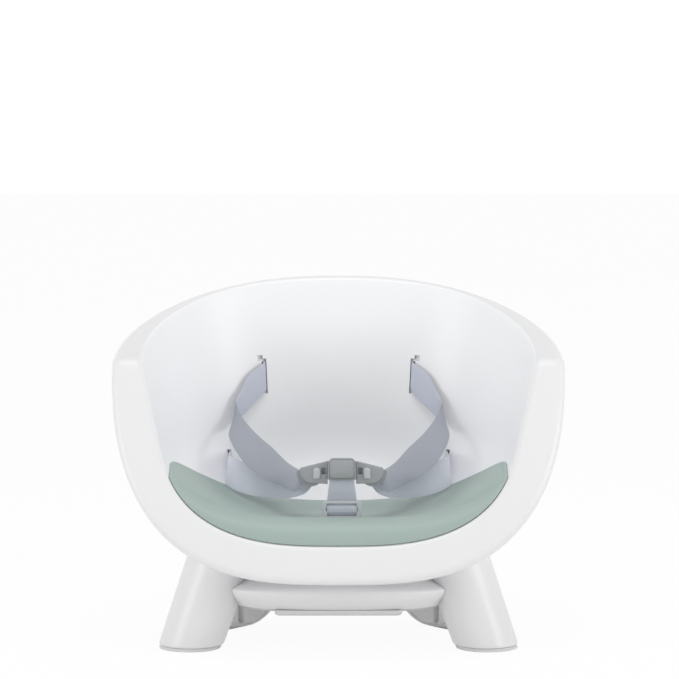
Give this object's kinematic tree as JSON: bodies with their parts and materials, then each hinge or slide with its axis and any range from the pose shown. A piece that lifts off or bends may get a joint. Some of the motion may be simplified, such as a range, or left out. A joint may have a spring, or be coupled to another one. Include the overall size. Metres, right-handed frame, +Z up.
{
  "type": "low booster seat",
  "caption": "Low moulded child's booster seat: a white bowl of two skins on short feet, with a soft green pad and a grey buckled harness.",
  "frame": {"origin": "on the floor, under the middle of the seat's bounding box", "axes": "+Z up, +X to the right as seen from the front, -Y towards the front of the seat"},
  "size_m": [0.38, 0.2792, 0.298],
  "materials": {
    "shell": "satin white moulded plastic",
    "pad": "matte sage green moulded foam",
    "rubber": "matte grey rubber",
    "webbing": "light grey woven webbing",
    "buckle": "matte grey plastic",
    "button": "matte grey plastic",
    "steel": "plain zinc-plated steel"
  },
  "bodies": {
    "seat": {"back_shell": "shell", "base_cover": "shell", "base_hub": "shell", "buckle_housing": "buckle", "button_spring": "steel", "cover_screw_1": "steel", "cover_screw_2": "steel", "cover_screw_3": "steel", "cover_screw_4": "steel", "crotch_anchor": "steel", "crotch_strap": "webbing", "foot_screw_front_left": "steel", "foot_screw_front_right": "steel", "foot_screw_rear_left": "steel", "foot_screw_rear_right": "steel", "front_foot_left": "shell", "front_foot_pad_left": "rubber", "front_foot_pad_right": "rubber", "front_foot_right": "shell", "lap_anchor_left": "steel", "lap_anchor_right": "steel", "lap_strap_left": "webbing", "lap_strap_right": "webbing", "rear_foot_left": "shell", "rear_foot_pad_left": "rubber", "rear_foot_pad_right": "rubber", "rear_foot_right": "shell", "seat_pad": "pad", "seat_shell": "shell", "shoulder_anchor_left": "steel", "shoulder_anchor_right": "steel", "shoulder_strap_left": "webbing", "shoulder_strap_right": "webbing"},
    "button": {"buckle_button": "button"},
    "tongue_left": {"tongue_left": "buckle", "shoulder_clip_left": "buckle"},
    "tongue_right": {"tongue_right": "buckle", "shoulder_clip_right": "buckle"},
    "slider": {"crotch_slider": "buckle"}
  },
  "joints": [
    {"name": "button_press", "type": "slide", "parent": "seat", "child": "button", "axis": [0, 1, 0], "range_m": [0, 0.0024], "stiffness_N_per_m": 600, "springref_m": -0.002, "deforming": ["button_spring"]},
    {"name": "tongue_left_slide", "type": "slide", "parent": "seat", "child": "tongue_left", "axis": [-1, 0, 0], "range_m": [0, 0.018], "deforming": ["shoulder_strap_left", "lap_strap_left"]},
    {"name": "tongue_right_slide", "type": "slide", "parent": "seat", "child": "tongue_right", "axis": [1, 0, 0], "range_m": [0, 0.018], "deforming": ["shoulder_strap_right", "lap_strap_right"]},
    {"name": "slider_slide", "type": "slide", "parent": "seat", "child": "slider", "axis": [0, 0, 1], "range_m": [0, 0.008], "deforming": ["crotch_strap"]}
  ]
}
